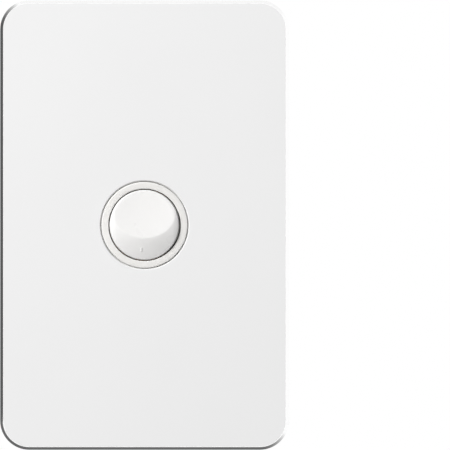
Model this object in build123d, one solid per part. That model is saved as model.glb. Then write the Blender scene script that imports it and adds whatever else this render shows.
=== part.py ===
from build123d import *

import math
import os

# A one-gang wall light switch: a clip-on cover, a grid plate behind it and a round two-way rocker mechanism.
# X is right, Y goes into the wall and Z is up. The origin is the middle of the plate, on the wall plane.
# Lengths are in millimetres and angles in degrees. The rocker is drawn at its off position.

# Shared by all pieces: how far a cut runs past a face, and how deep a hook or an ear is rooted in its wall
overcut = 1.0
rooted = 0.3

# Cover plate
plate_width = 76.0
plate_height = 118.3
plate_depth = 7.5
plate_corner = 7.7
rim_bevel_width = 0.8
rim_bevel_depth = 1.0
cover_face = 2.0
cover_wall = 1.8
cover_hole_radius = 11.65
cover_rib = 1.2
cover_rib_depth = 2.0
cover_rib_x = 24.0
cover_rib_z = 28.0
cover_rib_length = 100.0
pry_notch_width = 7.0
pry_notch_depth = 1.2

# Grid plate
grid_gap = 0.5
grid_wall = 1.5
grid_web = 2.0
web_front_y = -3.0
grid_front_y = -5.0
aperture_gap = 0.15
aperture_corner = 1.6
grid_rib = 1.2
grid_rib_side_offset = 6.0
grid_rib_end_offset = 8.0
clip_width = 6.0
clip_bite = 0.5
clip_front_y = -3.9
clip_back_y = -3.1
clip_land = 0.3
clip_window_gap = 0.15
clip_side_gap = 0.5
side_clips_z = (-38.0, 0.0, 38.0)
end_clips_x = (-18.0, 18.0)

# Fixing screws
fixing_spacing = 84.0
fixing_thread_radius = 1.75
fixing_neck_radius = 1.45
fixing_hole_radius = 1.9
fixing_head_radius = 3.4
fixing_head_height = 2.0
fixing_length = 30.0
fixing_thread_front_y = -0.5
fixing_boss_wall = 1.0
fixing_boss_gap = 0.4
fixing_boss_height = 1.7

# Front moulding of the mechanism
collar_radius = 11.35
bore_radius = 9.62
flange_width = 28.4
flange_height = 37.4
flange_corner = 3.0
flange_front_y = -5.0
body_width = 24.4
body_height = 33.4
body_corner = 1.4
skirt_wall = 1.3
joint_y = 5.0
lug_width = 6.0
lug_bite = 0.7
lug_gap = 0.05
lug_land = 0.5
lug_length = 2.4
arm_width = 8.0
arm_thickness = 1.2
arm_gap = 0.1
arm_root_y = 1.0
arm_root_end_y = 4.0
arm_end_y = 12.0
catch_width = 5.0
catch_front_y = 8.0
catch_length = 2.2
catch_height = 0.9
catch_gap = 0.15

# Rocker, with its sizes given as it stands at the off position
rocker_pivot_y = -5.2
rocker_travel = 11.5
rocker_radius = 9.25
rocker_sweep_radius = 9.45
rocker_back_y = -3.2
rocker_wall = 1.5
rocker_crown_back = -0.9
bulge_top_y = -9.025
bulge_top_z = -4.8
bulge_top_slope = 13.5
bulge_radius = 36.0
crest_y = -9.31
crest_z = -3.4
scoop_radius = 139.0
scoop_slope = 11.0
brow_radius = 26.0
brow_edge_radius = 7.9
brow_edge_z = 0.75
trunnion_radius = 1.0
trunnion_gap = 0.05
trunnion_end_gap = 0.1
trunnion_reach = 10.9
stem_radius = 2.9
stem_bore_radius = 2.0
stem_end = 8.0

# Plunger and its spring, measured along the stem from the rocker's pivot
plunger_reach = 12.0
plunger_radius = 1.93
plunger_length = 7.0
plunger_nose_radius = 2.6
spring_seat = -0.6
spring_radius = 1.55
spring_wire_radius = 0.22
spring_turns = 3
wire_sides = 4

# Rocking contact, a shallow V blade
blade_rest_gap = 0.12
blade_ratio = 1.3
blade_thickness = 0.8
blade_width = 5.0
blade_arm = 10.2
blade_pin_radius = 0.7
blade_pin_reach = 3.6
saddle_gap = 0.05
cheek_gap = 0.3
cheek_thickness = 0.9
cheek_front_y = 5.9
cheek_half_height = 1.8
contact_arm = 8.5
contact_gap = 0.05
moving_tip_radius = 1.5
moving_tip_height = 0.9
moving_tip_dome = 4.0
fixed_tip_radius = 1.7

# Base moulding, strips and terminals
strip_front_y = 9.0
strip_thickness = 0.8
strip_start_x = -2.0
strip_end_x = 9.4
strip_low_z = 6.9
strip_high_z = 13.6
leg_start_x = 4.0
spine_half_height = 2.5
base_wall = 2.0
base_lip = 0.6
base_lip_length = 1.4
base_back_y = 20.0
tower_width = 9.2
tower_height = 10.2
tower_web_y = 11.6
terminal_x = 7.6
terminal_z = 11.6
terminal_width = 6.0
terminal_height = 6.4
terminal_length = 8.5
terminal_gap = 0.1
wire_radius = 1.6
wire_depth = 7.0
wire_entry_radius = 1.8
clamp_y = 14.2
clamp_thread_radius = 1.5
clamp_thread_gap = 0.02
clamp_head_radius = 2.2
clamp_head_height = 1.2
clamp_access_radius = 2.4
clamp_tip_x = 8.6

# Worked out from the sizes above
front_y = -plate_depth
cover_inside_y = front_y + cover_face
web_back_y = web_front_y + grid_web
grid_width = plate_width - 2 * (cover_wall + grid_gap)
grid_height = plate_height - 2 * (cover_wall + grid_gap)
grid_corner = plate_corner - cover_wall - grid_gap
half_travel = rocker_travel / 2
blade_half_travel = blade_ratio * half_travel
blade_angle = blade_half_travel + half_travel / 2
blade_half = blade_thickness / 2
blade_point = blade_half / math.cos(math.radians(blade_angle))
blade_pivot_y = rocker_pivot_y + plunger_reach + blade_rest_gap + blade_point
floor_front_y = strip_front_y + strip_thickness
terminal_back_y = floor_front_y + terminal_length
terminal_side_x = terminal_x + terminal_width / 2
rocker_frame = Pos(0, rocker_pivot_y, 0) * Rot(-half_travel, 0, 0)
blade_frame = Pos(0, blade_pivot_y, 0) * Rot(blade_half_travel, 0, 0)


def slab(width, height, y_front, y_back, radius=0.0, x=0.0, z=0.0):
    """A block between two planes parallel to the wall, with rounded corners where a radius is given."""
    face = RectangleRounded(width, height, radius) if radius else Rectangle(width, height)
    return extrude(Plane.XZ.offset(-y_front) * Pos(x, z) * face, amount=y_front - y_back)


def rod(radius, y_front, y_back, x=0.0, z=0.0):
    """A round bar along Y."""
    return extrude(Plane.XZ.offset(-y_front) * Pos(x, z) * Circle(radius), amount=y_front - y_back)


def cross_rod(radius, x_from, x_to, y, z=0.0):
    """A round bar along X."""
    return extrude(Plane.YZ.offset(x_from) * Pos(y, z) * Circle(radius), amount=x_to - x_from)


def prism(points, origin, inward, length):
    """A bar whose profile is drawn as (inward, Y) points, centred on its origin along its length."""
    along = Vector(*inward).cross(Vector(0, 1, 0))
    plane = Plane(origin=origin, x_dir=inward, z_dir=along)
    return extrude(plane * Polygon(*points, align=None), amount=length / 2, both=True)


def wall_places(half_width, half_height):
    """Where the cover's clips sit: (x, z, inward direction) on each wall of the given rectangle."""
    sides = [(s * half_width, z, (-s, 0, 0)) for s in (-1, 1) for z in side_clips_z]
    ends = [(x, s * half_height, (0, 0, -s)) for s in (-1, 1) for x in end_clips_x]
    return sides + ends


def make_cover_plate():
    """A shell with a bevelled rim, a round hole, stiffening ribs, clip hooks and a pry notch."""
    body = slab(plate_width, plate_height, front_y, 0, plate_corner)
    front_face = body.faces().sort_by(Axis.Y)[0]
    body = chamfer(front_face.edges(), rim_bevel_width, rim_bevel_depth, reference=front_face)
    inner_width = plate_width - 2 * cover_wall
    inner_height = plate_height - 2 * cover_wall
    body -= slab(inner_width, inner_height, cover_inside_y, overcut, plate_corner - cover_wall)
    rib_back_y = cover_inside_y + cover_rib_depth
    for s in (-1, 1):
        body += slab(cover_rib, cover_rib_length, cover_inside_y, rib_back_y, x=s * cover_rib_x)
        body += slab(2 * cover_rib_x, cover_rib, cover_inside_y, rib_back_y, z=s * cover_rib_z)
    body -= rod(cover_hole_radius, front_y - overcut, 0)
    reach = grid_gap + clip_bite
    land_y = clip_front_y + clip_land
    hook = [(-rooted, clip_front_y), (reach, clip_front_y), (reach, land_y), (-rooted, clip_back_y)]
    for x, z, inward in wall_places(inner_width / 2, inner_height / 2):
        body += prism(hook, (x, 0, z), inward, clip_width)
    body -= slab(pry_notch_width, 3 * cover_wall, -pry_notch_depth, overcut, z=-plate_height / 2)
    return body


def make_grid_plate():
    """The screwed plate: a web with an upstanding wall, the mechanism's aperture and two screw seats."""
    body = slab(grid_width, grid_height, grid_front_y, 0, grid_corner)
    hollow_width = grid_width - 2 * grid_wall
    hollow_height = grid_height - 2 * grid_wall
    hollow_corner = grid_corner - grid_wall
    body -= slab(hollow_width, hollow_height, grid_front_y - overcut, web_front_y, hollow_corner)
    body -= slab(hollow_width, hollow_height, web_back_y, overcut, hollow_corner)
    rib_x = body_width / 2 + grid_rib_side_offset
    rib_z = body_height / 2 + grid_rib_end_offset
    boss_inside = fixing_head_radius + fixing_boss_gap
    boss_front_y = web_front_y - fixing_boss_height
    for s in (-1, 1):
        body += slab(grid_rib, hollow_height, web_back_y, 0, x=s * rib_x)
        body += slab(hollow_width, grid_rib, web_back_y, 0, z=s * rib_z)
        boss_z = s * fixing_spacing / 2
        body += rod(boss_inside + fixing_boss_wall, boss_front_y, web_front_y, z=boss_z)
        body -= rod(boss_inside, boss_front_y - overcut, web_front_y, z=boss_z)
        body -= rod(fixing_hole_radius, web_front_y - overcut, web_back_y + overcut, z=boss_z)
    gap = 2 * aperture_gap
    body -= slab(body_width + gap, body_height + gap, grid_front_y - overcut, overcut, aperture_corner)
    window_front = clip_front_y - clip_window_gap
    past = grid_wall + overcut
    window = [(-overcut, window_front), (past, window_front), (past, web_front_y), (-overcut, web_front_y)]
    for x, z, inward in wall_places(grid_width / 2, grid_height / 2):
        body -= prism(window, (x, 0, z), inward, clip_width + 2 * clip_side_gap)
    return body


def make_mounting_screws():
    """Two fixing screws with captive necks, their heads seated on the grid plate's web."""
    seat = web_front_y
    screw = rod(fixing_head_radius, seat - fixing_head_height, seat)
    screw += rod(fixing_neck_radius, seat, fixing_thread_front_y)
    screw += rod(fixing_thread_radius, fixing_thread_front_y, seat + fixing_length)
    half = fixing_spacing / 2
    return Compound([(Pos(0, 0, s * half) * screw).solid() for s in (-1, 1)])


def make_mechanism_front():
    """The front moulding: the flush collar, the flange, the skirt, the trunnion seats and the snap arms."""
    body = slab(flange_width, flange_height, flange_front_y, web_front_y, flange_corner)
    body += rod(collar_radius, front_y, flange_front_y)
    body += slab(body_width, body_height, web_front_y, joint_y, body_corner)
    inner_width = body_width - 2 * skirt_wall
    inner_height = body_height - 2 * skirt_wall
    body -= slab(inner_width, inner_height, web_front_y + overcut, joint_y + overcut)
    body -= rod(bore_radius, front_y - overcut, web_front_y + 2 * overcut)
    seat_end = trunnion_reach + trunnion_end_gap
    body -= cross_rod(trunnion_radius + trunnion_gap, -seat_end, seat_end, rocker_pivot_y)
    lug_front = web_back_y + lug_gap
    lug_back = lug_front + lug_length
    lug = [(rooted, lug_front), (-lug_bite, lug_front), (-lug_bite, lug_front + lug_land), (rooted, lug_back)]
    arm_inside = body_height / 2 + arm_gap
    arm_z = arm_inside + arm_thickness / 2
    root_height = arm_gap + 2 * rooted
    root_z = body_height / 2 + arm_gap / 2
    window_width = catch_width + 2 * catch_gap
    window_start = catch_front_y - catch_gap
    window_end = catch_front_y + catch_length + catch_gap
    for s in (-1, 1):
        body += prism(lug, (s * body_width / 2, 0, 0), (-s, 0, 0), lug_width)
        body += slab(arm_width, arm_thickness, arm_root_y, arm_end_y, z=s * arm_z)
        body += slab(arm_width, root_height, arm_root_y, arm_root_end_y, z=s * root_z)
        body -= slab(window_width, 2 * arm_thickness, window_start, window_end, z=s * arm_z)
    return body


def make_wall():
    """The rocker's side wall as a solid of revolution: straight at the back, then an arc about the pivot."""
    corner_y = rocker_pivot_y - math.sqrt(rocker_sweep_radius**2 - rocker_radius**2)
    top_y = crest_y - overcut / 10
    corner = (rocker_radius, corner_y)

    def sweep_point(y):
        return (math.sqrt(rocker_sweep_radius**2 - (y - rocker_pivot_y) ** 2), y)

    with BuildSketch(Plane.XY) as profile:
        with BuildLine():
            Polyline((0, top_y), (0, rocker_back_y), (rocker_radius, rocker_back_y), corner)
            ThreePointArc(corner, sweep_point((corner_y + top_y) / 2), sweep_point(top_y))
            Line(sweep_point(top_y), (0, top_y))
        make_face()
    return revolve(profile.sketch, Axis.Y)


def crown_ball(radius, y, z):
    """A large ball whose centre lies in the rocker's upright middle plane."""
    return Pos(0, y, z) * Sphere(radius)


def make_crown():
    """The rocker's outside: a round wall under a slow bulge, with a shallow scoop inside a rounded brow."""
    bulge_slope = math.radians(bulge_top_slope)
    bulge_y = bulge_top_y + bulge_radius * math.cos(bulge_slope)
    bulge_z = bulge_top_z + bulge_radius * math.sin(bulge_slope)
    slope = math.radians(scoop_slope)
    scoop_y = crest_y - scoop_radius * math.cos(slope)
    scoop_z = crest_z + scoop_radius * math.sin(slope)
    lean = math.asin((scoop_z - brow_edge_z) / scoop_radius)
    edge_depth = math.sqrt(scoop_radius**2 - brow_edge_radius**2)
    depth = edge_depth + math.sqrt(brow_radius**2 - brow_edge_radius**2)
    brow = crown_ball(brow_radius, scoop_y + depth * math.cos(lean), scoop_z - depth * math.sin(lean))
    body = make_wall() & crown_ball(bulge_radius, bulge_y, bulge_z) & brow
    return body - crown_ball(scoop_radius, scoop_y, scoop_z)


def make_rocker():
    """The crown, hollowed from behind, with its trunnion pins and the bored stem."""
    inside = rocker_radius - rocker_wall
    body = make_crown()
    body -= rocker_frame * rod(inside, rocker_crown_back, stem_end)
    body += rocker_frame * rod(stem_radius, rocker_crown_back - rooted, stem_end)
    body -= rocker_frame * rod(stem_bore_radius, spring_seat, stem_end + overcut)
    for s in (-1, 1):
        body += cross_rod(trunnion_radius, s * inside, s * trunnion_reach, rocker_pivot_y)
    return body


def make_plunger():
    """The sliding nose that presses on the blade, with a domed tip."""
    nose_y = plunger_reach - plunger_nose_radius
    tip = rod(plunger_radius, nose_y, plunger_reach) & Pos(0, nose_y, 0) * Sphere(plunger_nose_radius)
    return rocker_frame * (rod(plunger_radius, plunger_reach - plunger_length, nose_y) + tip)


def make_plunger_spring():
    """A compression spring with ground ends, seated in the stem and on the plunger's back."""
    length = plunger_reach - plunger_length - spring_seat
    coil = Helix(pitch=length / spring_turns, height=length, radius=spring_radius)
    across = Plane(origin=coil @ 0, x_dir=(1, 0, 0), z_dir=coil % 0)
    wire = sweep(across * RegularPolygon(spring_wire_radius, wire_sides), path=coil, is_frenet=True)
    between_ends = Cylinder(2 * spring_radius, length, align=(Align.CENTER, Align.CENTER, Align.MIN))
    return rocker_frame * Pos(0, spring_seat, 0) * Rot(-90, 0, 0) * (wire & between_ends)


def blade_outline():
    """The V blade's section as (y, z) points about its pivot, its point towards the saddle."""
    angle = math.radians(blade_angle)
    lean = (-math.sin(angle), math.cos(angle))
    side = (math.cos(angle), math.sin(angle))
    back_end = (blade_arm * lean[0] + blade_half * side[0], blade_arm * lean[1] + blade_half * side[1])
    front_end = (blade_arm * lean[0] - blade_half * side[0], blade_arm * lean[1] - blade_half * side[1])
    upper = [(blade_point, 0), back_end, front_end, (-blade_point, 0)]
    lower = [(y, -z) for y, z in reversed(upper[1:3])]
    return upper + lower


def make_rocking_contact():
    """The blade with its two ears, turned to its off position."""
    blade = extrude(Plane.YZ * Polygon(*blade_outline(), align=None), amount=blade_width / 2, both=True)
    for s in (-1, 1):
        blade += cross_rod(blade_pin_radius, s * (blade_width / 2 - rooted), s * blade_pin_reach, 0)
    return blade_frame * blade


def moving_tip(side):
    """One domed contact button on the back of the blade's upper (1) or lower (-1) arm."""
    tip = rod(moving_tip_radius, 0, moving_tip_height)
    tip &= Pos(0, moving_tip_height - moving_tip_dome, 0) * Sphere(moving_tip_dome)
    return Rot(side * blade_angle, 0, 0) * Pos(0, blade_half, side * contact_arm) * tip


def make_rocking_contact_tips():
    """The two buttons that the blade carries."""
    return Compound([(blade_frame * moving_tip(side)).solid() for side in (-1, 1)])


def fixed_tip_face_y():
    """The plane of the fixed buttons, the contact gap behind the closed moving button."""
    lean = math.radians(half_travel / 2)
    centre = blade_half + moving_tip_height - moving_tip_dome
    depth = centre * math.cos(lean) - contact_arm * math.sin(lean)
    return blade_pivot_y + depth + moving_tip_dome + contact_gap


def make_fixed_tip(side):
    """The fixed button above (1) or below (-1) the saddle."""
    return rod(fixed_tip_radius, fixed_tip_face_y(), strip_front_y, z=side * contact_arm)


def make_way_strip(side):
    """A strip that joins the fixed button to its terminal."""
    x = (strip_start_x + strip_end_x) / 2
    z = side * (strip_low_z + strip_high_z) / 2
    width = strip_end_x - strip_start_x
    return slab(width, strip_high_z - strip_low_z, strip_front_y, floor_front_y, x=x, z=z)


def make_common_strip():
    """The strip under the blade, with two upright cheeks whose seats carry the blade's ears."""
    cheek_outside = blade_width / 2 + cheek_gap + cheek_thickness
    spine_x = (cheek_outside - strip_end_x) / 2
    body = slab(strip_end_x + cheek_outside, 2 * spine_half_height, strip_front_y, floor_front_y, x=spine_x)
    leg_x = -(strip_end_x + leg_start_x) / 2
    leg_z = (spine_half_height - strip_high_z) / 2
    leg_height = strip_high_z + spine_half_height
    body += slab(strip_end_x - leg_start_x, leg_height, strip_front_y, floor_front_y, x=leg_x, z=leg_z)
    seat_radius = blade_pin_radius + saddle_gap
    for s in (-1, 1):
        cheek_x = s * (cheek_outside - cheek_thickness / 2)
        body += slab(cheek_thickness, 2 * cheek_half_height, cheek_front_y, strip_front_y, x=cheek_x)
    seat_end = cheek_outside + overcut
    body -= cross_rod(seat_radius, -seat_end, seat_end, blade_pivot_y)
    body -= slab(2 * seat_end, 2 * seat_radius, cheek_front_y - overcut, blade_pivot_y)
    return body


def terminal_places():
    """The four terminals by name, as signs of x and z."""
    return {"way_one": (1, 1), "way_two": (1, -1), "common": (-1, -1), "loop": (-1, 1)}


def make_terminal(sx, sz):
    """A brass block with a blind wire tunnel from behind and a tapped cross hole from the side."""
    x = sx * terminal_x
    z = sz * terminal_z
    body = slab(terminal_width, terminal_height, floor_front_y, terminal_back_y, x=x, z=z)
    body -= rod(wire_radius, terminal_back_y - wire_depth, terminal_back_y + overcut, x=x, z=z)
    body -= cross_rod(clamp_thread_radius + clamp_thread_gap, x, sx * (terminal_side_x + overcut), clamp_y, z)
    return body


def make_terminal_screws():
    """Four clamping screws, one in the side of each terminal."""
    screws = []
    head_end = terminal_side_x + clamp_head_height
    for sx, sz in terminal_places().values():
        z = sz * terminal_z
        screw = cross_rod(clamp_thread_radius, sx * clamp_tip_x, sx * terminal_side_x, clamp_y, z)
        screw += cross_rod(clamp_head_radius, sx * terminal_side_x, sx * head_end, clamp_y, z)
        screws.append(screw.solid())
    return Compound(screws)


def make_mechanism_base():
    """The rear moulding: a walled tray for the strips and four towers that hold the terminals."""
    body = slab(body_width, body_height, joint_y, base_back_y, body_corner)
    inner_width = body_width - 2 * base_wall
    inner_height = body_height - 2 * base_wall
    lip_width = inner_width + 2 * base_lip
    lip_height = inner_height + 2 * base_lip
    lip_front_y = joint_y - base_lip_length
    body += slab(lip_width, lip_height, lip_front_y, joint_y)
    body -= slab(inner_width, inner_height, lip_front_y - overcut, floor_front_y)
    body -= slab(body_width - 2 * tower_width, body_height + overcut, tower_web_y, base_back_y + overcut)
    body -= slab(body_width + overcut, body_height - 2 * tower_height, tower_web_y, base_back_y + overcut)
    pocket_width = terminal_width + 2 * terminal_gap
    pocket_height = terminal_height + 2 * terminal_gap
    for sx, sz in terminal_places().values():
        x = sx * terminal_x
        z = sz * terminal_z
        body -= slab(pocket_width, pocket_height, floor_front_y - overcut, terminal_back_y, x=x, z=z)
        body -= rod(wire_entry_radius, terminal_back_y - overcut, base_back_y + overcut, x=x, z=z)
        body -= cross_rod(clamp_access_radius, x, sx * (body_width / 2 + overcut), clamp_y, z)
    catch_back_y = catch_front_y + catch_length
    catch = [(rooted, catch_front_y), (-catch_height, catch_back_y), (rooted, catch_back_y)]
    for s in (-1, 1):
        body += prism(catch, (0, 0, s * body_height / 2), (0, 0, -s), catch_width)
    return body


def make_parts():
    """Every piece of the switch by its name."""
    parts = {
        "cover_plate": make_cover_plate(),
        "grid_plate": make_grid_plate(),
        "mounting_screws": make_mounting_screws(),
        "mechanism_front": make_mechanism_front(),
        "mechanism_base": make_mechanism_base(),
        "rocker": make_rocker(),
        "plunger": make_plunger(),
        "plunger_spring": make_plunger_spring(),
        "rocking_contact": make_rocking_contact(),
        "rocking_contact_tips": make_rocking_contact_tips(),
        "common_strip": make_common_strip(),
        "way_one_strip": make_way_strip(1),
        "way_two_strip": make_way_strip(-1),
        "way_one_contact_tip": make_fixed_tip(1),
        "way_two_contact_tip": make_fixed_tip(-1),
        "terminal_screws": make_terminal_screws(),
    }
    for name, (sx, sz) in terminal_places().items():
        parts[f"{name}_terminal"] = make_terminal(sx, sz)
    return parts


os.makedirs("parts", exist_ok=True)
for node, shape in make_parts().items():
    solids = shape.solids()
    piece = solids[0] if len(solids) == 1 else Compound(solids)
    export_step(piece, f"parts/{node}.step")
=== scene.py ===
import math

import bpy
import numpy as np
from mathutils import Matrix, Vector


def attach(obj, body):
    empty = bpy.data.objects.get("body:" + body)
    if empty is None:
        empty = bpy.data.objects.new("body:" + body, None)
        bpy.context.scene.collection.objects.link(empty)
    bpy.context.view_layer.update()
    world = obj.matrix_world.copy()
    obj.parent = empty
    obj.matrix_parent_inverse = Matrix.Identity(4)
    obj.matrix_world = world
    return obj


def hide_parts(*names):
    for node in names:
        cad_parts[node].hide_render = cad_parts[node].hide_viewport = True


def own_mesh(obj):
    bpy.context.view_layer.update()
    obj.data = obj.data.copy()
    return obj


# A wall light switch dressed over its CAD frame. Lengths are in millimetres until a mesh is made.
# X is right, Y goes into the wall and Z is up, as in the frame.
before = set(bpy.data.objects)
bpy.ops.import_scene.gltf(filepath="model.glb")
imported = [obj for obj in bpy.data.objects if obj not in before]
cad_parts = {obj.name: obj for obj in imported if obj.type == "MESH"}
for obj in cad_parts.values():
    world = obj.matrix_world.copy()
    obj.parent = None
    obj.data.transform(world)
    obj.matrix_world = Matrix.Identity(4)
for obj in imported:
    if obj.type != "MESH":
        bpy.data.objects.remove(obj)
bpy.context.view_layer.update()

# Sizes that follow the CAD source
plate_width = 76.0
plate_height = 118.3
plate_depth = 7.5
plate_corner = 7.7
rim_bevel_width = 0.8
rim_bevel_depth = 1.0
cover_face = 2.0
cover_wall = 1.8
cover_hole_radius = 11.65
pry_notch_half = 3.5
pry_notch_depth = 1.2
collar_radius = 11.35
bore_radius = 9.62
rocker_pivot_y = -5.2
rocker_lean = math.radians(5.75)
rocker_radius = 9.25
rocker_sweep_radius = 9.45
rocker_back_y = -3.2
rocker_hollow_radius = 7.75
rocker_hollow_front = -0.9
spring_back = 5.0
spring_radius = 1.55
fixing_z = 42.0
fixing_head_radius = 3.4
fixing_head_front = -5.0
fixing_seat = -3.0
fixing_thread_radius = 1.75
fixing_tip = 27.0
clamp_y = 14.2
clamp_z = 11.6
clamp_head_radius = 2.2
clamp_head_x = 11.8
clamp_seat_x = 10.6
clamp_thread_radius = 1.5
clamp_tip_x = 8.6
crest_y = -9.31
crest_z = -3.4
front_y = -plate_depth
cover_inside_y = front_y + cover_face

# Sizes of the finer forms that only this scene has
bore_lip_radius = 9.49
spring_front = -0.58
spring_wire = 0.22
bar_x = -0.8
bar_z = -6.5
bar_half_width = 0.2
bar_half_height = 0.52
bar_proud = 0.11
bar_edge = 0.1


# Surfaces


def grid_quads(rows, columns, wrap_rows, wrap_columns):
    """Quads (r, c), (r+1, c), (r+1, c+1), (r, c+1) over a grid, joined end to start where it wraps."""
    r = np.arange(rows if wrap_rows else rows - 1)
    c = np.arange(columns if wrap_columns else columns - 1)
    r, c = np.meshgrid(r, c, indexing="ij")
    r_next, c_next = (r + 1) % rows, (c + 1) % columns
    corners = [r * columns + c, r_next * columns + c, r_next * columns + c_next, r * columns + c_next]
    return np.stack(corners, -1).reshape(-1, 4)


def signed_volume(points, faces):
    """A sixth of the sum of a . (b x c) over all triangles, positive when normals face outward."""
    total = 0.0
    for size in {len(f) for f in faces}:
        f = np.array([q for q in faces if len(q) == size])
        for k in range(1, size - 1):
            a, b, c = points[f[:, 0]], points[f[:, k]], points[f[:, k + 1]]
            total += np.einsum("ij,ij->i", a, np.cross(b, c)).sum() / 6
    return total


def shell(loops, wrap=False):
    """A closed surface from equal loops of points: quads between neighbours, then a wrap or two end caps."""
    points = np.array(loops)
    rows, columns = points.shape[:2]
    faces = grid_quads(rows, columns, wrap, True).tolist()
    if not wrap:
        faces.append(list(range(columns)))
        faces.append([(rows - 1) * columns + i for i in reversed(range(columns))])
    points = points.reshape(-1, 3)
    if signed_volume(points, faces) < 0:
        faces = [list(reversed(f)) for f in faces]
    return points, faces


def make_piece(name, shells, body, replaced=(), materials=(), bands=None, turn=None):
    """One mesh object from closed shells in mm, riding on its CAD body."""
    points, faces = [], []
    start = 0
    for p, f in shells:
        points.append(p)
        faces += [[i + start for i in face] for face in f]
        start += len(p)
    points = np.concatenate(points)
    if turn is not None:
        points = turn(points)
    mesh = bpy.data.meshes.new(name)
    mesh.from_pydata((points / 1000).tolist(), [], faces)
    mesh.polygons.foreach_set("use_smooth", np.ones(len(faces), dtype=bool))
    if bands is not None:
        mesh.polygons.foreach_set("material_index", bands(points, faces).astype(np.int32))
    mesh.update()
    obj = bpy.data.objects.new(name, mesh)
    bpy.context.scene.collection.objects.link(obj)
    for m in materials:
        mesh.materials.append(m)
    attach(obj, body)
    if replaced:
        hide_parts(*replaced)
    return obj


def circle(radius, y, angles, x=0.0, z=0.0):
    """Points (x + r cos a, y, z + r sin a)."""
    return np.stack([x + radius * np.cos(angles), np.full_like(angles, y), z + radius * np.sin(angles)], -1)


def turns(count):
    """Evenly spaced angles round a full turn, starting from 0."""
    return np.linspace(0, 2 * np.pi, count, endpoint=False)


def quarter(count):
    """Pairs (1 - cos a, 1 - sin a) for angles a from 0 to a right angle, the steps of a rounded edge."""
    a = np.linspace(0, np.pi / 2, count)
    return list(zip(1 - np.cos(a), 1 - np.sin(a)))


# Where points stand along the outline's straight sides and ends, as fractions, and round its corners
side_steps = np.linspace(0, 1, 50)[1:-1]
notch_x = np.array([-4.2, -3.6, -3.4, 3.4, 3.6, 4.2])
notch_steps = 0.5 + notch_x / (plate_width - 2 * plate_corner)
end_steps = np.unique(np.concatenate([np.linspace(0, 1, 34)[1:-1], notch_steps]))
corner_steps = np.linspace(0, np.pi / 2, 17)


def rounded(half_x, half_z, corner, y, x=0.0, z=0.0, sides=side_steps, ends=end_steps, corners=corner_steps):
    """A rounded rectangle's outline in the plane at y, anticlockwise from its lower right.

    Its points stand at fractions of each straight side and at angles of each corner.
    """
    cx, cz = half_x - corner, half_z - corner
    up = 2 * sides - 1
    over = 2 * ends - 1
    px = [np.full_like(up, half_x), cx + corner * np.cos(corners)]
    pz = [cz * up, cz + corner * np.sin(corners)]
    px += [-cx * over, -cx - corner * np.sin(corners)]
    pz += [np.full_like(over, half_z), cz + corner * np.cos(corners)]
    px += [np.full_like(up, -half_x), -cx - corner * np.cos(corners)]
    pz += [-cz * up, -cz - corner * np.sin(corners)]
    px += [cx * over, cx + corner * np.sin(corners)]
    pz += [np.full_like(over, -half_z), -cz - corner * np.cos(corners)]
    px, pz = np.concatenate(px), np.concatenate(pz)
    return np.stack([x + px, np.full_like(px, y), z + pz], -1)


def soft_turn(radius, start, stop, steps):
    """Offsets (along, down) of an arc of that radius from the angle start to the angle stop."""
    a = np.linspace(start, stop, steps)
    return radius * (np.sin(a) - math.sin(start)), radius * (math.cos(start) - np.cos(a))


# Cover plate


def cover_outline(inset, y):
    """The cover's outline moved in by inset."""
    return rounded(plate_width / 2 - inset, plate_height / 2 - inset, max(plate_corner - inset, 0.3), y)


def cover_loops():
    """The cover's closed section: from the hole over face and rim, round the rear edge and back inside."""
    hole_edge, hole_step, ledge_y = 0.22, 0.2, front_y + 0.55
    hole_inner = cover_hole_radius - hole_step
    flat = cover_outline(rim_bevel_width + 0.6, front_y)
    angles = np.arctan2(flat[:, 2], flat[:, 0])
    hole = (
        (cover_hole_radius + 0.6, cover_inside_y),
        (hole_inner + 0.1, cover_inside_y),
        (hole_inner, cover_inside_y - 0.1),
        (hole_inner, ledge_y + 0.1),
        (hole_inner + 0.1, ledge_y - 0.05),
        (cover_hole_radius, ledge_y - 0.15),
    )
    hole += tuple((cover_hole_radius + hole_edge * p, front_y + hole_edge * q) for p, q in quarter(6))
    hole += tuple((cover_hole_radius + hole_edge + r, front_y) for r in (0.1, 0.6))
    loops = [circle(r, y, angles) for r, y in hole]
    loops += [cover_outline(rim_bevel_width + d, front_y) for d in (1.2, 0.6, 0.32)]

    bevel = math.atan2(rim_bevel_depth, rim_bevel_width)
    inner_soft, outer_soft = 0.4, 0.14
    tangent = inner_soft * math.tan(bevel / 2)
    along, down = soft_turn(inner_soft, 0, bevel, 6)
    loops += [cover_outline(rim_bevel_width + tangent - a, front_y + d) for a, d in zip(along, down)]
    reach = outer_soft * math.tan((math.pi / 2 - bevel) / 2)
    start = reach * math.cos(bevel)
    sink = rim_bevel_depth - reach * math.sin(bevel)
    before = 0.05
    loops += [cover_outline(start + before, front_y + sink - before * math.tan(bevel))]
    along, down = soft_turn(outer_soft, bevel, math.pi / 2, 5)
    loops += [cover_outline(start - a, front_y + sink + d) for a, d in zip(along, down)]

    foot, fillet = 0.15, 0.4
    loops += [cover_outline(0, y) for y in (front_y + rim_bevel_depth + 0.4, -2.2, -1.9)]
    loops += [cover_outline(foot * p, -foot * q) for p, q in quarter(5)]
    loops += [cover_outline(d, 0) for d in (foot + 0.1, cover_wall - foot - 0.1)]
    loops += [cover_outline(cover_wall - foot * q, -foot * p) for p, q in quarter(4)]
    loops += [cover_outline(cover_wall, y) for y in (-1.9, -2.2, cover_inside_y + 0.6)]
    loops += [cover_outline(cover_wall + fillet * p, cover_inside_y + fillet * q) for p, q in quarter(5)]
    loops += [cover_outline(cover_wall + fillet + 0.3, cover_inside_y)]
    return loops


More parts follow.
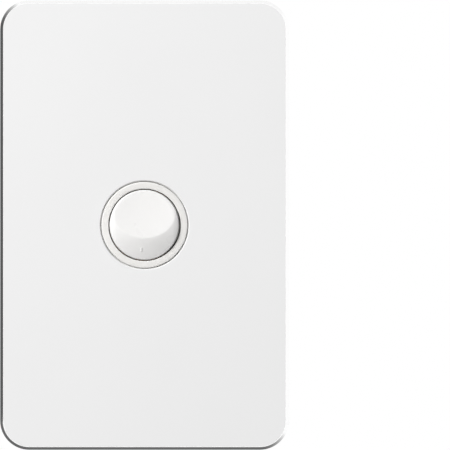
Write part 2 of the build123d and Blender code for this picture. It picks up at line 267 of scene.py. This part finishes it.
def cut_pry_notch(points):
    """Lifts the rear edge of the bottom wall by a smooth step between the notch's two ends."""
    x, y, z = points[:, 0], points[:, 1], points[:, 2]
    ramp = 0.2
    step = np.clip((pry_notch_half + ramp / 2 - np.abs(x)) / ramp, 0, 1)
    near = (z < -plate_height / 2 + cover_wall + 0.01) & (y > -0.6)
    out = points.copy()
    out[:, 1] = np.where(near, y - pry_notch_depth * step, y)
    return out


def block(x0, x1, y0, y1, z0, z1, soft=0.15):
    """A box with softened edges, as a stack of rounded rectangles along Y."""
    few = np.linspace(0, 1, 4)[1:-1]
    bend = np.linspace(0, np.pi / 2, 4)
    cx, cz, hx, hz = (x0 + x1) / 2, (z0 + z1) / 2, (x1 - x0) / 2, (z1 - z0) / 2

    def level(inset, y):
        return rounded(hx - inset, hz - inset, max(soft * 1.5 - inset, 0.02), y, cx, cz, few, few, bend)

    loops = [level(soft * q, y0 + soft * p) for p, q in quarter(4)]
    loops += [level(soft * q, y1 - soft * p) for p, q in quarter(4)[::-1]]
    return shell(loops)


def span(side, near, far):
    """Two distances out to one side of the middle, -1 or 1, as coordinates with the lower first."""
    return sorted((side * near, side * far))


def make_cover(face, rim):
    """The cover's skin with its ribs and clip hooks."""
    skin_points, skin_faces = shell(cover_loops(), wrap=True)
    shells = [(cut_pry_notch(skin_points), skin_faces)]
    rib_x, rib_z, rib_reach, rib_half = 24, 28, 50, 0.6
    rib_y = (cover_inside_y - 0.2, cover_inside_y + 2.0)
    hook_y, hook_half, hook_soft = (-3.9, -3.1), 3, 0.12
    hook_root, hook_reach = 0.2, 1
    inner_x, inner_z = plate_width / 2 - cover_wall, plate_height / 2 - cover_wall
    for s in (-1, 1):
        shells.append(block(s * rib_x - rib_half, s * rib_x + rib_half, *rib_y, -rib_reach, rib_reach))
        shells.append(block(-rib_x, rib_x, *rib_y, s * rib_z - rib_half, s * rib_z + rib_half))
        for z in (-38, 0, 38):
            across = span(s, inner_x + hook_root, inner_x - hook_reach)
            shells.append(block(*across, *hook_y, z - hook_half, z + hook_half, hook_soft))
        for x in (-18, 18):
            upright = span(s, inner_z + hook_root, inner_z - hook_reach)
            shells.append(block(x - hook_half, x + hook_half, *hook_y, *upright, hook_soft))

    def bands(points, faces):
        """1 for the faces of the bevelled rim, and 0 for the others."""
        middle = points[np.array(skin_faces)].mean(1)
        depth = middle[:, 1] - front_y
        on_rim = (depth > 0.008) & (depth < rim_bevel_depth + 0.02)
        outside = np.hypot(middle[:, 0], middle[:, 2]) > 2 * cover_hole_radius
        out = np.zeros(len(faces))
        out[: len(middle)] = on_rim & outside
        return out

    make_piece("cover", shells, "root", ("cover_plate",), (face, rim), bands)


# Mechanism front


def make_front(material):
    """The front moulding: a flush collar that widens into the flange, then narrows into the skirt."""
    edge, flat, fillet, soft, wall = 0.26, 0.08, 0.2, 0.15, 1.3
    flange_x, flange_z, flange_corner = 14.2, 18.7, 3.0
    flange_front, flange_back = -5.0, -3.0
    skirt_x, skirt_z, skirt_corner, inner_corner, skirt_back = 12.2, 16.7, 1.4, 0.9, 5.0
    outline = rounded(flange_x, flange_z, flange_corner, 0)
    angles = np.arctan2(outline[:, 2], outline[:, 0])
    loops = [circle(bore_radius + 0.1, flange_back, angles), circle(bore_radius, flange_back - 0.1, angles)]
    loops += [circle(bore_radius, -6.2, angles), circle(bore_lip_radius, front_y + edge + 0.1, angles)]
    loops += [circle(bore_lip_radius + edge * p, front_y + edge * q, angles) for p, q in quarter(6)]
    loops += [circle(bore_lip_radius + edge + flat, front_y, angles)]
    loops += [circle(collar_radius - edge - flat, front_y, angles)]
    loops += [circle(collar_radius - edge * q, front_y + edge * p, angles) for p, q in quarter(6)]
    loops += [circle(collar_radius, y, angles) for y in (front_y + edge + 0.2, flange_front - 0.3)]
    loops += [circle(collar_radius + fillet * p, flange_front - fillet * q, angles) for p, q in quarter(6)]

    flange = [(0.5, flange_front), (soft, flange_front), (0.0, flange_front + soft)]
    flange += [(0.0, flange_back - soft), (soft, flange_back), (0.5, flange_back)]
    skirt = [(0.4, flange_back), (0.1, flange_back), (0.0, flange_back + 0.1)]
    skirt += [(0.0, skirt_back - 0.3), (-soft, skirt_back)]
    inside = [(soft, skirt_back), (0.0, skirt_back - soft), (0.0, flange_back + 0.1)]
    inside += [(-0.1, flange_back), (-0.4, flange_back)]
    loops += [rounded(flange_x - d, flange_z - d, flange_corner - d, y) for d, y in flange]
    loops += [rounded(skirt_x + d, skirt_z + d, skirt_corner + d, y) for d, y in skirt]
    loops += [rounded(skirt_x - wall + d, skirt_z - wall + d, inner_corner + d, y) for d, y in inside]
    shells = [shell(loops, wrap=True)]

    lug_y, lug_half, arm_root_y, arm_half = (-0.95, 1.45), 3, (1.0, 4.0), 4
    for s in (-1, 1):
        shells.append(block(*span(s, skirt_x - 0.3, skirt_x + 0.7), *lug_y, -lug_half, lug_half, 0.12))
        shells.append(block(-arm_half, arm_half, *arm_root_y, *span(s, skirt_z - 0.3, skirt_z + 0.3), 0.1))
        shells.append(snap_arm(s))
    make_piece("front_moulding", shells, "root", ("mechanism_front",), (material,))


def snap_arm(side):
    """A flat tongue with a catch window: rounded rectangles over its faces and back through the window."""
    few = np.linspace(0, 1, 5)[1:-1]
    bend = np.linspace(0, np.pi / 2, 5)

    def level(half_x, half_y, corner, mid_y, z):
        flat = rounded(half_x, half_y, corner, 0, 0, 0, few, few, bend)
        return np.stack([flat[:, 0], flat[:, 2] + mid_y, np.full(len(flat), side * z)], -1)

    inner, outer, soft = 16.8, 18.0, 0.12
    outward = ((inner, soft), (inner + soft, 0), (outer - soft, 0), (outer, soft))
    half_x, half_y, corner, mid_y = 4.0, 5.5, 0.5, 6.5
    loops = [level(half_x - d, half_y - d, corner - d, mid_y, z) for z, d in outward]
    half_x, half_y, corner, mid_y = 2.65, 1.25, 0.2, 9.1
    loops += [level(half_x + d, half_y + d, corner + d, mid_y, z) for z, d in reversed(outward)]
    return shell(loops, wrap=True)


# Rocker


def barrel_y(x, z):
    """The bulge: an upright section of two arcs, turned about an axis behind it, with falling shoulders."""
    slope = math.radians(13.5)
    top_y, top_z, low_radius, high_radius, side_radius = -9.025, -4.8, 38.0, 20.2, 36.0
    shoulder_x, shoulder_fall = 7.4, 0.075
    axis_y = top_y + side_radius

    def arc(radius):
        mid_y = top_y + radius * math.cos(slope)
        mid_z = top_z + radius * math.sin(slope)
        return mid_y - np.sqrt(radius**2 - (z - mid_z) ** 2)

    section = np.where(z < top_z, arc(low_radius), arc(high_radius))
    shoulder = shoulder_fall * np.maximum(np.abs(x) - shoulder_x, 0) ** 2
    return axis_y - np.sqrt((axis_y - section) ** 2 - x**2) + shoulder


def scoop_y(x, z):
    """The finger scoop: the front of a large sphere."""
    radius, slope = 139.0, math.radians(11.0)
    mid_y = crest_y - radius * math.cos(slope)
    mid_z = crest_z + radius * math.sin(slope)
    return mid_y + np.sqrt(radius**2 - x**2 - (z - mid_z) ** 2)


def bar_height(x, z):
    """How far the bar mark stands proud: a plateau whose edge falls as 3 t^2 - 2 t^3 over bar_edge."""
    outside = np.maximum(np.abs(x - bar_x) - bar_half_width, np.abs(z - bar_z) - bar_half_height)
    t = np.clip(0.5 - outside / bar_edge, 0, 1)
    return bar_proud * t * t * (3 - 2 * t)


def crown_y(x, z, soft=0.06):
    """A smooth maximum of bulge and scoop, (a + b + sqrt((a - b)^2 + soft^2)) / 2, less the bar's height."""
    a, b = barrel_y(x, z), scoop_y(x, z)
    return (a + b + np.sqrt((a - b) ** 2 + soft**2)) / 2 - bar_height(x, z)


def rocker_loops():
    """The rocker's closed section: over the crown from its middle, down the wall and into the hollow."""
    columns, bar_reach, bar_columns = 288, 0.06, 37
    bar_angle = math.atan2(bar_z, bar_x) % (2 * math.pi)
    near_bar = np.abs(turns(columns) - bar_angle) < bar_reach
    fine = bar_angle + np.linspace(-bar_reach, bar_reach, bar_columns)
    angles = np.sort(np.concatenate([turns(columns)[~near_bar], fine]))
    rim_soft, back_soft, hollow_soft = 0.28, 0.1, 0.3
    flat_edge = 9.06 - rim_soft
    middle = 0.03

    def crown(radius):
        return circle(radius, crown_y(radius * np.cos(angles), radius * np.sin(angles)), angles)

    def wall_radius(y):
        """The wall's radius at y, inside the ball that the rocker sweeps."""
        out = np.sqrt(np.maximum(rocker_sweep_radius**2 - (y - rocker_pivot_y) ** 2, 1))
        return np.minimum(out, rocker_radius)

    radii = np.concatenate([[middle], np.linspace(0.2, flat_edge - 0.05, 150)])
    loops = [crown(r) for r in radii]
    top = crown(flat_edge)[:, 1]
    for a in np.linspace(0, np.pi / 2, 9)[1:]:
        y = top + rim_soft * (1 - math.cos(a))
        edge = wall_radius(y + rim_soft * math.cos(a) * 0.5)
        loops.append(circle(flat_edge + (edge - flat_edge) * math.sin(a), y, angles))
    last = loops[-1][:, 1]
    wall_end = rocker_back_y - back_soft
    for f in (0.1, 0.3, 0.5, 0.7, 0.9, 0.97):
        y = last + (wall_end - last) * f
        loops.append(circle(wall_radius(y), y, angles))
    loops.append(circle(rocker_radius, wall_end, angles))
    deep, wide = rocker_hollow_front, rocker_hollow_radius
    loops += [circle(r, rocker_back_y, angles) for r in (rocker_radius - back_soft, wide * 1.012)]
    hollow = [(wide, 1.6)]
    hollow += [(wide - hollow_soft * p, deep + hollow_soft * q) for p, q in quarter(5)]
    hollow.append((middle, deep))
    return loops + [lean(circle(r, y, angles)) for r, y in hollow]


def lean(points):
    """From the stem's own frame to the row frame: turned back about X by half the travel, at the pivot."""
    c, s = math.cos(-rocker_lean), math.sin(-rocker_lean)
    y = points[:, 1] * c - points[:, 2] * s
    z = points[:, 1] * s + points[:, 2] * c
    return np.stack([points[:, 0], y + rocker_pivot_y, z], -1)


def make_rocker(material):
    """The rocker's shell, its stem and its trunnion pins."""
    angles = turns(64)
    stem = [(2.0, -0.6), (2.0, 7.9), (2.1, 8.0), (2.8, 8.0), (2.9, 7.9), (2.9, -1.2), (2.0, -1.2)]
    stem_points, stem_faces = shell([circle(r, y, angles) for r, y in stem], wrap=True)
    shells = [shell(rocker_loops()), (lean(stem_points), stem_faces)]
    pin = [(0.85, 10.9), (1.0, 10.75), (1.0, 7.5)]
    c, s = np.cos(angles), np.sin(angles)
    for side in (-1, 1):
        rings = [[np.full_like(c, side * x), r * c + rocker_pivot_y, r * s] for r, x in pin]
        shells.append(shell([np.stack(ring, -1) for ring in rings]))
    make_piece("rocker_paddle", shells, "rocker", ("rocker",), (material,))


# Screws and spring


def bar(across, along, half_width, half_length, edge=0.11):
    """1 inside a bar and 0 outside it, with a smooth edge: the product of two clipped ramps."""
    side = np.clip((half_width - np.abs(across)) / edge + 0.5, 0, 1)
    end = np.clip((half_length - np.abs(along)) / edge + 0.5, 0, 1)
    return side * end


def cross_drive(x, z, radius):
    """Depth of a cross recess whose two arms taper towards their ends."""
    reach = np.hypot(x, z) / radius
    depth = 1.25 * np.clip(1.15 - 1.4 * reach, 0, 1)
    half_width, half_length = 0.42 - 0.3 * reach, 0.62 * radius
    return depth * np.maximum(bar(x, z, half_width, half_length), bar(z, x, half_width, half_length))


def slot_drive(x, z, radius):
    """Depth of a straight slot right across the head."""
    depth, half_width = 0.75, 0.32
    return depth * bar(x, z, half_width, 2 * radius)


def screw_head(radius, height, neck_radius, drive, dome):
    """A screw's head facing -Y from 0: a shallow dome less its drive, a rounded rim and a flat seat."""
    angles = turns(192)
    c, s = np.cos(angles), np.sin(angles)
    rim_soft, seat_soft, drive_floor = 0.25, 0.1, 0.75 * height

    def row(r, y):
        x, z = r * c, r * s
        front = np.maximum(y, drive(x, z, radius)) if y < drive_floor else np.full_like(x, y)
        return np.stack([x, front, z], -1)

    rows = []
    for r in np.concatenate([[0.02], np.linspace(0.08, radius - rim_soft, 64)]):
        x, z = r * c, r * s
        rows.append(np.stack([x, dome * (r / radius) ** 2 + drive(x, z, radius), z], -1))
    rows += [row(radius - rim_soft * q, dome + rim_soft * p) for p, q in quarter(6)[1:]]
    rows += [row(radius, y) for y in np.linspace(dome + rim_soft, height * 0.74, 4)[1:]]
    rows += [row(radius, height - seat_soft), row(radius - seat_soft, height), row(neck_radius * 0.6, height)]
    return shell(rows)


def screw_shank(radius, start, length, pitch):
    """A threaded shank along +Y with a tapered tip.

    Its radius is r - d * w(y / p - a / 2 pi), where w is a clipped triangle wave, so that its crests climb
    one pitch p for each full turn of the angle a.
    """
    angles = turns(40)
    c, s = np.cos(angles), np.sin(angles)
    depth = pitch * 0.55
    y = np.arange(start, length - 0.05, pitch / 9)
    fade = np.clip((y - start - 0.25) / pitch, 0, 1)
    taper = np.clip((length - y) / (1.5 * pitch), 0.35, 1)
    phase = y[:, None] / pitch - angles[None, :] / (2 * np.pi)
    wave = 1 - np.abs(2 * (phase % 1) - 1)
    ridge = radius - depth * fade[:, None] * np.clip(1.7 * wave - 0.35, 0, 1)
    ridge = np.minimum(ridge, radius - depth * (1 - taper[:, None]) * 1.2)
    rows = [np.stack([r * c, np.full_like(c, h), r * s], -1) for r, h in zip(ridge, y)]
    rows.append(circle(ridge[-1].min() * 0.9, length, angles))
    return shell(rows)


def turned_copies(shells, places):
    """Shells given along +Y, rolled by an angle about Y and set down by a function for each place."""
    copies = []
    for roll, set_down in places:
        c, s = math.cos(roll), math.sin(roll)
        for points, faces in shells:
            x, z = points[:, 0] * c - points[:, 2] * s, points[:, 0] * s + points[:, 2] * c
            placed = np.stack(set_down(x, points[:, 1], z), -1)
            outward = signed_volume(placed, faces) > 0
            copies.append((placed, faces if outward else [list(reversed(f)) for f in faces]))
    return copies


def make_mounting_screws(material):
    """Two pan head screws with cross drives, threaded to their tips."""
    seat = fixing_seat - fixing_head_front
    head = screw_head(fixing_head_radius, seat, fixing_thread_radius, cross_drive, 0.45)
    shank = screw_shank(fixing_thread_radius, seat - 0.1, fixing_tip - fixing_head_front, 0.6)

    def at(height):
        return lambda x, y, z: (x, y + fixing_head_front, z + height)

    copies = turned_copies([head, shank], [(0.35, at(-fixing_z)), (1.1, at(fixing_z))])
    make_piece("fixing_screws", copies, "root", ("mounting_screws",), (material,))


def make_terminal_screws(material):
    """Four slotted clamping screws, their heads outward."""
    seat = clamp_head_x - clamp_seat_x
    head = screw_head(clamp_head_radius, seat, clamp_thread_radius, slot_drive, 0.12)
    shank = screw_shank(clamp_thread_radius, seat - 0.1, clamp_head_x - clamp_tip_x, 0.5)

    def at(sx, sz):
        return lambda x, y, z: (sx * (clamp_head_x - y), clamp_y + x, sz * clamp_z + z)

    rolls = ((0.4, 1, 1), (2.3, 1, -1), (1.1, -1, 1), (2.8, -1, -1))
    copies = turned_copies([head, shank], [(roll, at(sx, sz)) for roll, sx, sz in rolls])
    make_piece("clamp_screws", copies, "root", ("terminal_screws",), (material,))


def make_spring(material):
    """Round wire carried along a helix whose pitch closes up at both ends, with its ends ground flat.

    The wire's centre is (R cos a, y, R sin a) with a = 2 pi n t for n coils, where t runs from 0 to 1 and y
    follows t - sin(2 pi t) / (4 pi).
    """
    coils = 5.5
    t = np.linspace(0, 1, 330)
    around = turns(14)
    ease = t - np.sin(2 * np.pi * t) / (4 * np.pi)
    centre_y = spring_front + spring_wire + (spring_back - spring_front - 2 * spring_wire) * ease
    a = 2 * np.pi * coils * t
    radius = spring_radius + spring_wire * np.cos(around)[None, :]
    y = centre_y[:, None] + spring_wire * np.sin(around)[None, :]
    y = np.clip(y, spring_front, spring_back)
    rows = np.stack([radius * np.cos(a)[:, None], y, radius * np.sin(a)[:, None]], -1)
    wire, replaced = [shell(rows)], ("plunger_spring",)
    piece = make_piece("coil_spring", wire, "plunger", replaced, (material,), turn=lean)
    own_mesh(piece)


# Materials


class Tree:
    """A material's node tree, with short calls for its nodes. Textures follow object coordinates in metres."""

    def __init__(self, name):
        self.material = bpy.data.materials.new(name)
        self.material.use_nodes = True
        self.tree = self.material.node_tree
        self.shader = self.tree.nodes["Principled BSDF"]
        self.place = self.tree.nodes.new("ShaderNodeTexCoord").outputs["Object"]

    def node(self, kind, inputs=None, **settings):
        made = self.tree.nodes.new(kind)
        for key, value in settings.items():
            setattr(made, key, value)
        for key, value in (inputs or {}).items():
            if isinstance(value, bpy.types.NodeSocket):
                self.tree.links.new(value, made.inputs[key])
            else:
                made.inputs[key].default_value = value
        return made

    def noise(self, scale, detail=2.0, stretch=None):
        place = self.place
        if stretch:
            place = self.node("ShaderNodeMapping", {"Vector": place, "Scale": stretch}).outputs[0]
        inputs = {"Vector": place, "Scale": scale, "Detail": detail}
        return self.node("ShaderNodeTexNoise", inputs).outputs["Fac"]

    def spread(self, value, low, high, start=0.3, stop=0.7):
        inputs = {"Value": value, "From Min": start, "From Max": stop, "To Min": low, "To Max": high}
        return self.node("ShaderNodeMapRange", inputs).outputs[0]

    def tint(self, factor, first, second):
        """A colour from first to second by factor, where each of them is a colour or a socket."""

        def end(value):
            return value if isinstance(value, bpy.types.NodeSocket) else (*value, 1)

        inputs = {0: factor, 6: end(first), 7: end(second)}
        return self.node("ShaderNodeMix", inputs, data_type="RGBA").outputs[2]

    def bump(self, height, distance, strength=1.0, normal=None):
        inputs = {"Height": height, "Distance": distance, "Strength": strength}
        if normal:
            inputs["Normal"] = normal
        return self.node("ShaderNodeBump", inputs).outputs[0]

    def set(self, **values):
        for key, value in values.items():
            socket = self.shader.inputs[key.replace("_", " ")]
            if isinstance(value, bpy.types.NodeSocket):
                self.tree.links.new(value, socket)
            else:
                socket.default_value = value
        return self.material


def toned(colour, share):
    """A colour with each channel multiplied by share, at most 1."""
    return tuple(min(c * share, 1) for c in colour)


def moulded_plastic(name, colour, roughness, grain, grain_depth, glow_through=0.0):
    """Moulded plastic: grain, flow lines, a slow sink wave, drifts of tone and gloss, and soaked-in light."""
    t = Tree(name)
    cloudy = t.tint(t.noise(35, 3), toned(colour, 0.985), toned(colour, 1.01))
    specks = t.spread(t.noise(5200, 1), 0, 0.5, 0.72, 0.8)
    fine = t.bump(t.noise(grain, 2), grain_depth)
    lines = t.bump(t.noise(160, 2, (1, 1, 0.12)), grain_depth * 1.5, normal=fine)
    return t.set(
        Base_Color=t.tint(specks, cloudy, toned(colour, 0.93)),
        Roughness=t.spread(t.noise(120, 3), roughness - 0.04, roughness + 0.05),
        Normal=t.bump(t.noise(60, 1), 0.00002, normal=lines),
        Specular_IOR_Level=0.5,
        Subsurface_Weight=glow_through,
        Subsurface_Radius=(1, 1, 1),
        Subsurface_Scale=0.0015,
    )


def drawn_metal(name, colour, roughness, stretch):
    """Rolled or drawn metal: lines along its length, shallow dents, and a stain that drifts in tone."""
    t = Tree(name)
    mark_depth = 0.0000015
    lines = t.noise(7000, 2, stretch)
    dents = t.bump(t.noise(420, 2), mark_depth * 2)
    return t.set(
        Base_Color=t.tint(t.spread(t.noise(180, 4), 0, 1), toned(colour, 0.93), colour),
        Metallic=1.0,
        Roughness=t.spread(lines, roughness - 0.03, roughness + 0.05),
        Normal=t.bump(lines, mark_depth, normal=dents),
    )


def plated_metal(name, colour, roughness):
    """Zinc plate: cells of different tone, a faint yellow and blue drift, and a fine crystal grain."""
    t = Tree(name)
    cells = t.node("ShaderNodeTexVoronoi", {"Vector": t.place, "Scale": 4200})
    tone = t.node("ShaderNodeSeparateColor", {"Color": cells.outputs["Color"]}).outputs[0]
    warm = (colour[0] * 1.03, colour[1] * 1.0, colour[2] * 0.9)
    cool = (colour[0] * 0.94, colour[1] * 0.98, colour[2] * 1.05)
    drift = t.tint(t.spread(t.noise(320, 3), 0, 1), warm, cool)
    return t.set(
        Base_Color=t.tint(t.spread(tone, 0, 0.35, 0, 1), drift, toned(colour, 0.92)),
        Metallic=1.0,
        Roughness=t.spread(tone, roughness - 0.04, roughness + 0.06, 0, 1),
        Normal=t.bump(t.noise(5200, 2), 0.000003),
    )


def machined_brass(name, colour, roughness):
    """Sawn and drilled brass: close cutter rings across the bar, browner where it has been handled."""
    t = Tree(name)
    inputs = {"Vector": t.place, "Scale": 2300, "Distortion": 2.0, "Detail": 2.0}
    rings = t.node("ShaderNodeTexWave", inputs, bands_direction="Y")
    handled = t.spread(t.noise(260, 4), 0, 1, 0.4, 0.65)
    brown = (colour[0] * 0.8, colour[1] * 0.72, colour[2] * 0.62)
    return t.set(
        Base_Color=t.tint(handled, colour, brown),
        Metallic=1.0,
        Roughness=t.spread(rings.outputs["Fac"], roughness - 0.05, roughness + 0.08, 0, 1),
        Normal=t.bump(rings.outputs["Fac"], 0.0000015),
    )


def polished_rim(name, colour, roughness):
    """A polished edge: a faint drift of tone, and hairlines from back to front that vary its gloss."""
    t = Tree(name)
    hairlines = t.noise(3600, 2, (1, 0.15, 1))
    return t.set(
        Base_Color=t.tint(t.noise(140, 3), toned(colour, 0.99), colour),
        Metallic=1.0,
        Roughness=t.spread(hairlines, roughness - 0.03, roughness + 0.03),
        Normal=t.bump(hairlines, 0.0000003),
    )


cover_finish = moulded_plastic("cover_satin", (0.863, 0.863, 0.863), 0.42, 2600, 0.000003)
collar_finish = moulded_plastic("collar_satin", (0.863, 0.85, 0.825), 0.4, 2400, 0.000003, 0.7)
rocker_finish = moulded_plastic("rocker_gloss", (0.868, 0.862, 0.852), 0.3, 1800, 0.0000015, 0.35)
rim_finish = polished_rim("rim_polished", (0.994, 0.994, 0.994), 0.12)

make_cover(cover_finish, rim_finish)
make_front(collar_finish)
make_rocker(rocker_finish)
zinc_finish = plated_metal("zinc_plate", (0.62, 0.62, 0.60), 0.3)
make_mounting_screws(zinc_finish)
make_terminal_screws(zinc_finish)
make_spring(drawn_metal("spring_wire", (0.45, 0.45, 0.46), 0.3, (1, 0.3, 1)))

grid_finish = moulded_plastic("grid_matt", (0.78, 0.78, 0.76), 0.55, 1500, 0.000008)
base_finish = moulded_plastic("base_matt", (0.78, 0.77, 0.73), 0.58, 1500, 0.000008)
nylon_finish = moulded_plastic("plunger_nylon", (0.72, 0.70, 0.64), 0.48, 1200, 0.000004)
node_finishes = {
    "grid_plate": (grid_finish, "grid_plastic"),
    "mechanism_base": (base_finish, "base_plastic"),
    "plunger": (nylon_finish, "plunger_nylon"),
}
copper, silver = (0.80, 0.49, 0.34), (0.80, 0.79, 0.77)
upright_lines, level_lines, no_lines = (1, 1, 0.04), (0.04, 1, 1), (1, 1, 1)
for node, name, roughness, lines in (
    ("rocking_contact", "copper_blade", 0.26, upright_lines),
    ("common_strip", "copper_common", 0.3, upright_lines),
    ("way_one_strip", "copper_one", 0.3, level_lines),
    ("way_two_strip", "copper_two", 0.3, level_lines),
):
    node_finishes[node] = (drawn_metal(name, copper, roughness, lines), "contact_copper")
for node, name in (
    ("rocking_contact_tips", "silver_moving"),
    ("way_one_contact_tip", "silver_one"),
    ("way_two_contact_tip", "silver_two"),
):
    node_finishes[node] = (drawn_metal(name, silver, 0.25, no_lines), "contact_silver")
brass_finish = machined_brass("brass_sawn", (0.72, 0.56, 0.30), 0.28)
for node in ("common_terminal", "way_one_terminal", "way_two_terminal", "loop_terminal"):
    node_finishes[node] = (brass_finish, "brass")
moulded_edge, metal_edge = 0.00018, 0.00006
edge_softness = {"grid_plate": moulded_edge, "mechanism_base": moulded_edge}


def soften(obj, width):
    """A narrow bevel on the edges of a CAD piece, shaded smooth across it."""
    bevel = obj.modifiers.new("soft_edges", "BEVEL")
    bevel.width = width
    bevel.segments = 2
    bevel.limit_method = "ANGLE"
    bevel.angle_limit = math.radians(40)
    bevel.harden_normals = True


for node, (finish, slot_name) in node_finishes.items():
    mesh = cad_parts[node].data
    mesh.materials.clear()
    mesh.materials.append(finish)
    soften(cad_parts[node], edge_softness.get(node, metal_edge))


# Stage, light and camera


def plain_plane(name, width, length, place, turn=(0, 0, 0)):
    """A flat stage plane."""
    mesh = bpy.data.meshes.new(name)
    w, h = width / 2, length / 2
    mesh.from_pydata([(-w, -h, 0), (w, -h, 0), (w, h, 0), (-w, h, 0)], [], [(0, 1, 2, 3)])
    obj = bpy.data.objects.new(name, mesh)
    bpy.context.scene.collection.objects.link(obj)
    obj.location = place
    obj.rotation_euler = turn
    return obj


def seen_directly(tree):
    """1 for rays from the camera, mirrors and clear things, and 0 for rays that light the object."""
    path = tree.nodes.new("ShaderNodeLightPath")
    seen = path.outputs["Is Camera Ray"]
    for ray in ("Is Glossy Ray", "Is Transmission Ray"):
        either = tree.nodes.new("ShaderNodeMath")
        either.operation = "MAXIMUM"
        tree.links.new(seen, either.inputs[0])
        tree.links.new(path.outputs[ray], either.inputs[1])
        seen = either.outputs[0]
    return seen


def pale_floor():
    """A pale floor, white to the camera and in reflections, that keeps a trace of the object's shadow."""
    t = Tree("floor_pale")
    grey, white_share = 0.85, 0.85
    t.set(Base_Color=(grey, grey, grey, 1), Roughness=0.9)
    share = t.node("ShaderNodeMath", {0: seen_directly(t.tree), 1: white_share}, operation="MULTIPLY")
    glow = t.node("ShaderNodeEmission", {"Strength": 1.0})
    mix = t.node("ShaderNodeMixShader", {0: share.outputs[0], 1: t.shader.outputs[0], 2: glow.outputs[0]})
    t.tree.links.new(mix.outputs[0], t.tree.nodes["Material Output"].inputs["Surface"])
    return t.material


floor = plain_plane("floor", 1.0, 1.0, (0, 0, -0.08))
floor.data.materials.append(pale_floor())
floor.visible_diffuse = False


def flag(name, width, place, turn, level, fade_start, fade_stop):
    """A flag that only polished surfaces see: grey of that level, fading to white across its width."""
    obj = plain_plane(name, width, 1.2, place, turn)
    t = Tree(name + "_cloth")
    across = t.node("ShaderNodeSeparateXYZ", {"Vector": t.place}).outputs["X"]
    inputs = {"Value": across, "From Min": fade_start, "From Max": fade_stop, "To Min": level, "To Max": 1.0}
    shade = t.node("ShaderNodeMapRange", inputs, interpolation_type="SMOOTHSTEP").outputs[0]
    glow = t.node("ShaderNodeEmission", {"Color": shade, "Strength": 1.0})
    t.tree.links.new(glow.outputs[0], t.tree.nodes["Material Output"].inputs["Surface"])
    obj.data.materials.append(t.material)
    obj.visible_camera = False
    obj.visible_diffuse = False
    obj.visible_shadow = False
    obj.visible_transmission = False


# The polished rim mirrors these: dark to the left and below, nearly white above
flag("flag_left", 4.0, (-0.75, 0.1, 0), (0, math.radians(90), 0), 0.1, -0.15, -1.8)
flag("flag_low", 1.4, (-0.5, 0.5895, -0.079), (0, 0, 0), 0.14, 0.531, 0.59)
flag("flag_high", 4.0, (1.25, 0.1, 2.0), (0, 0, 0), 0.94, 1.2, 1.95)


def pale_world(ambient_strength):
    """A world that lights the object softly and is white to the camera and in reflections."""
    world = bpy.data.worlds.new("studio")
    bpy.context.scene.world = world
    world.use_nodes = True
    tree = world.node_tree
    ambient, white = tree.nodes["Background"], tree.nodes.new("ShaderNodeBackground")
    for shade, strength in ((ambient, ambient_strength), (white, 1.0)):
        shade.inputs["Color"].default_value = (1, 1, 1, 1)
        shade.inputs["Strength"].default_value = strength
    mix = tree.nodes.new("ShaderNodeMixShader")
    for i, source in enumerate((seen_directly(tree), ambient.outputs[0], white.outputs[0])):
        tree.links.new(source, mix.inputs[i])
    tree.links.new(mix.outputs[0], tree.nodes["World Output"].inputs["Surface"])


def area_light(name, place, aim, size, power):
    """A square soft light at place, turned to face aim."""
    data = bpy.data.lights.new(name, "AREA")
    data.size = size
    data.energy = power
    obj = bpy.data.objects.new(name, data)
    bpy.context.scene.collection.objects.link(obj)
    obj.location = place
    obj.rotation_euler = (Vector(aim) - Vector(place)).to_track_quat("-Z", "Y").to_euler()
    obj.visible_camera = False
    obj.visible_glossy = False


pale_world(0.13)
area_light("key", (-1.25, -1.5, 0.93), (0, 0, 0), 0.7, 59)
area_light("back", (0.9, 1.5, 0.8), (0, 0, 0), 1.0, 40)

# The photograph is a square, and the plate starts at its left edge
photo_pixels, plate_pixels = 450, 289
mm_per_pixel = plate_width / plate_pixels
frame_width = photo_pixels * mm_per_pixel / 1000
camera_x = (photo_pixels - plate_pixels) / 2 * mm_per_pixel / 1000
camera_distance = 2.0
sensor_width = 36
camera_data = bpy.data.cameras.new("camera")
camera_data.sensor_width = sensor_width
camera_data.lens = sensor_width * camera_distance / frame_width
camera_data.clip_end = 20
camera = bpy.data.objects.new("camera", camera_data)
bpy.context.scene.collection.objects.link(camera)
camera.location = (camera_x, front_y / 1000 - camera_distance, 0)
camera.rotation_euler = (math.pi / 2, 0, 0)
bpy.context.scene.camera = camera
bpy.context.scene.view_settings.view_transform = "Standard"
